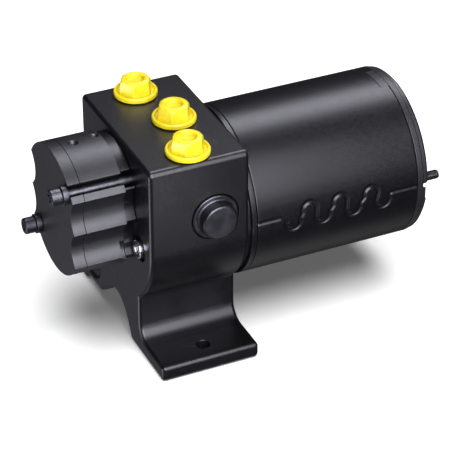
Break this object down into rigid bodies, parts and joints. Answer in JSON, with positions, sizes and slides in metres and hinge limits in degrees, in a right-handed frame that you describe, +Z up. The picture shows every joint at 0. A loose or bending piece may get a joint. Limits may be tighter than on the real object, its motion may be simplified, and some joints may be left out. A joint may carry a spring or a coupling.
{
  "type": "hydraulic power unit",
  "caption": "Reversible hydraulic power unit: a round DC motor and a small gear pump on either side of a black valve block with feet, side plugs and yellow port plugs on top.",
  "frame": {"origin": "on the floor under the feet, below the middle of the overall box", "axes": "+X along the motor shaft from the pump to the motor, +Y to the side away from the viewer, +Z up"},
  "size_m": [0.1986, 0.109, 0.12],
  "materials": {
    "black_paint": "satin black paint",
    "painted_aluminium": "satin black paint on die-cast aluminium",
    "blackened_steel": "black oxide",
    "bright_steel": "bright zinc",
    "ground_steel": "ground",
    "spring_steel": "drawn wire",
    "lamination_steel": "stacked laminations",
    "yellow_plastic": "semi-gloss",
    "black_rubber": "matt",
    "copper": "enamelled and turned copper",
    "bronze": "sintered bronze",
    "ferrite": "ground ferrite",
    "carbon": "carbon brush",
    "phenolic": "phenolic board"
  },
  "bodies": {
    "unit": {"valve_block": "black_paint", "gallery_plug": "bright_steel", "port_plug_front": "yellow_plastic", "port_plug_middle": "yellow_plastic", "port_plug_rear": "yellow_plastic", "check_seat_front": "bronze", "check_seat_rear": "bronze", "check_spring_front": "spring_steel", "check_spring_rear": "spring_steel", "side_plug_front": "blackened_steel", "side_plug_rear": "blackened_steel", "side_plug_seal_front": "black_rubber", "side_plug_seal_rear": "black_rubber", "pump_end_cover": "black_paint", "pump_body": "black_paint", "pump_port_plate": "black_paint", "pump_face_seal": "black_rubber", "bearing_block_outer": "bronze", "bearing_block_inner": "bronze", "shaft_seal": "black_rubber", "pump_screw_upper": "blackened_steel", "pump_screw_lower": "blackened_steel", "pump_washer_upper": "blackened_steel", "pump_washer_lower": "blackened_steel", "front_end_bell": "black_paint", "motor_face_seal": "black_rubber", "bearing_front": "bronze", "motor_can": "black_paint", "rear_end_cap": "painted_aluminium", "bearing_rear": "bronze", "magnet_upper": "ferrite", "magnet_lower": "ferrite", "brush_plate": "phenolic", "brush_spring_upper": "spring_steel", "brush_spring_lower": "spring_steel", "tie_rod_front": "blackened_steel", "tie_rod_rear": "blackened_steel", "tie_rod_nut_front": "blackened_steel", "tie_rod_nut_rear": "blackened_steel"},
    "rotor": {"drive_gear": "ground_steel", "drive_coupling": "ground_steel", "motor_shaft": "ground_steel", "armature_core": "lamination_steel", "armature_winding": "copper", "commutator": "copper"},
    "idler": {"idler_gear": "ground_steel"},
    "spool": {"shuttle_spool": "ground_steel"},
    "poppet_front": {"check_poppet_front": "ground_steel"},
    "poppet_rear": {"check_poppet_rear": "ground_steel"},
    "brush_upper": {"brush_upper": "carbon"},
    "brush_lower": {"brush_lower": "carbon"}
  },
  "joints": [
    {"name": "rotor_spin", "type": "hinge", "parent": "unit", "child": "rotor", "pos_m": [-0.03325, 0, 0.0654], "axis": [1, 0, 0], "continuous": true},
    {"name": "idler_spin", "type": "hinge", "parent": "unit", "child": "idler", "pos_m": [-0.07425, 0, 0.0874], "axis": [1, 0, 0], "continuous": true},
    {"name": "shuttle_slide", "type": "slide", "parent": "unit", "child": "spool", "axis": [0, 1, 0], "range_m": [-0.0026, 0.0026]},
    {"name": "front_check_lift", "type": "slide", "parent": "unit", "child": "poppet_front", "axis": [0, -1, 0], "range_m": [0, 0.0022], "stiffness_N_per_m": 300, "springref_m": -0.003, "deforming": ["check_spring_front"]},
    {"name": "rear_check_lift", "type": "slide", "parent": "unit", "child": "poppet_rear", "axis": [0, 1, 0], "range_m": [0, 0.0022], "stiffness_N_per_m": 300, "springref_m": -0.003, "deforming": ["check_spring_rear"]},
    {"name": "upper_brush_slide", "type": "slide", "parent": "unit", "child": "brush_upper", "axis": [0, 0, 1], "range_m": [0, 0.004], "stiffness_N_per_m": 300, "springref_m": -0.004, "deforming": ["brush_spring_upper"]},
    {"name": "lower_brush_slide", "type": "slide", "parent": "unit", "child": "brush_lower", "axis": [0, 0, -1], "range_m": [0, 0.004], "stiffness_N_per_m": 300, "springref_m": -0.004, "deforming": ["brush_spring_lower"]}
  ],
  "couplings": [
    {"joint": "idler_spin", "follows": "rotor_spin", "ratio": -1}
  ]
}
